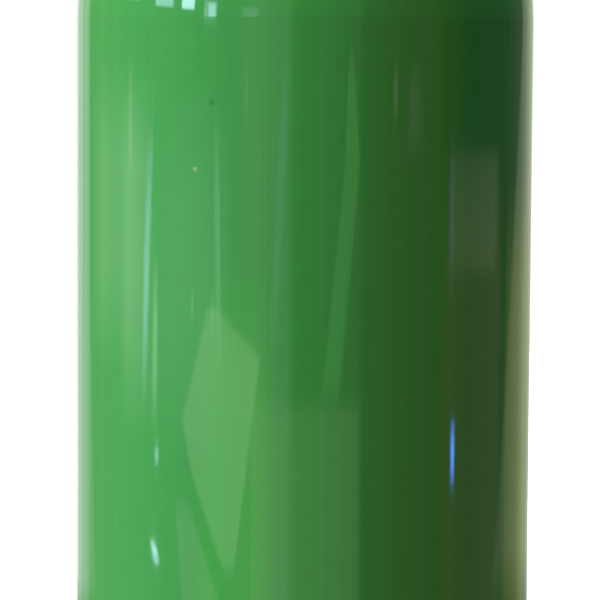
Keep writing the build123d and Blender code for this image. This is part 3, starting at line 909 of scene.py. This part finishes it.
class OXYGEN_OT_valve(bpy.types.Operator):
    """Plates the valve body and the bonnet nut"""
    bl_idname = "oxygen.valve"
    bl_label = "Valve Body and Bonnet"

    def execute(self, context):
        paint(["valve_body", "bonnet_nut"], plated_brass(context.scene.oxygen_metal))
        return {"FINISHED"}


class OXYGEN_OT_brass(bpy.types.Operator):
    """Finishes the debris tube, the safety plug and the valve plug"""
    bl_idname = "oxygen.brass"
    bl_label = "Brass Fittings"

    def execute(self, context):
        paint(["debris_tube", "safety_plug", "valve_plug"], bare_brass(context.scene.oxygen_metal))
        return {"FINISHED"}


class OXYGEN_OT_copper(bpy.types.Operator):
    """Finishes the burst disc, its washer and the bonnet gasket"""
    bl_idname = "oxygen.copper"
    bl_label = "Copper Disc and Gaskets"

    def execute(self, context):
        paint(["burst_disc", "burst_disc_washer", "bonnet_gasket"],
              copper(context.scene.oxygen_metal))
        return {"FINISHED"}


class OXYGEN_OT_nylon(bpy.types.Operator):
    """Finishes the seat, the washers and the backup ring"""
    bl_idname = "oxygen.nylon"
    bl_label = "Nylon Washers and Seat"

    def execute(self, context):
        paint(["seat_insert", "thrust_washer", "backup_ring", "outlet_washer"],
              white_nylon(context.scene.oxygen_plastic))
        return {"FINISHED"}


class OXYGEN_OT_spindle(bpy.types.Operator):
    """Finishes the spindle and the handle's washer and screw"""
    bl_idname = "oxygen.spindle"
    bl_label = "Spindle, Washer and Screw"

    def execute(self, context):
        paint(["spindle", "handle_washer", "handle_screw"],
              stainless_steel(context.scene.oxygen_metal))
        return {"FINISHED"}


class OXYGEN_OT_handle(bpy.types.Operator):
    """Finishes the toggle handle"""
    bl_idname = "oxygen.handle"
    bl_label = "Toggle Handle"

    def execute(self, context):
        paint(["toggle_handle"], cast_aluminium(context.scene.oxygen_metal))
        return {"FINISHED"}


class OXYGEN_OT_cap(bpy.types.Operator):
    """Finishes the outlet's dust cap"""
    bl_idname = "oxygen.cap"
    bl_label = "Dust Cap"

    def execute(self, context):
        plastic = cap_plastic(context.scene.oxygen_plastic)
        paint(["outlet_cap"], plastic)
        cap_ribs(plastic)
        return {"FINISHED"}


PIECES = (OXYGEN_OT_shell, OXYGEN_OT_label, OXYGEN_OT_seals, OXYGEN_OT_valve, OXYGEN_OT_brass,
          OXYGEN_OT_copper, OXYGEN_OT_nylon, OXYGEN_OT_spindle, OXYGEN_OT_handle, OXYGEN_OT_cap)
SETTINGS = {"oxygen_enamel": EnamelSettings, "oxygen_metal": MetalSettings,
            "oxygen_plastic": PlasticSettings, "oxygen_studio": StudioSettings,
            "oxygen_camera": CameraSettings}


class OXYGEN_PT_panel(bpy.types.Panel):
    """Lists the settings and the steps"""
    bl_label = "Oxygen Cylinder"
    bl_idname = "OXYGEN_PT_panel"
    bl_space_type = "VIEW_3D"
    bl_region_type = "UI"
    bl_category = "Oxygen"

    def draw(self, context):
        layout = self.layout
        for operator in (OXYGEN_OT_studio, *PIECES):
            layout.operator(operator.bl_idname)
        for name, group in SETTINGS.items():
            box = layout.box()
            for setting in group.__annotations__:
                box.prop(getattr(context.scene, name), setting)


CLASSES = (*SETTINGS.values(), OXYGEN_OT_studio, *PIECES, OXYGEN_PT_panel)


def register():
    for made in CLASSES:
        bpy.utils.register_class(made)
    for name, group in SETTINGS.items():
        setattr(bpy.types.Scene, name, PointerProperty(type=group))


def unregister():
    for name in SETTINGS:
        delattr(bpy.types.Scene, name)
    for made in reversed(CLASSES):
        bpy.utils.unregister_class(made)


def main():
    register()
    bpy.ops.oxygen.studio()
    bpy.ops.oxygen.shell()
    bpy.ops.oxygen.label()
    bpy.ops.oxygen.seals()
    bpy.ops.oxygen.valve()
    bpy.ops.oxygen.brass()
    bpy.ops.oxygen.copper()
    bpy.ops.oxygen.nylon()
    bpy.ops.oxygen.spindle()
    bpy.ops.oxygen.handle()
    bpy.ops.oxygen.cap()


if __name__ == "__main__":
    main()
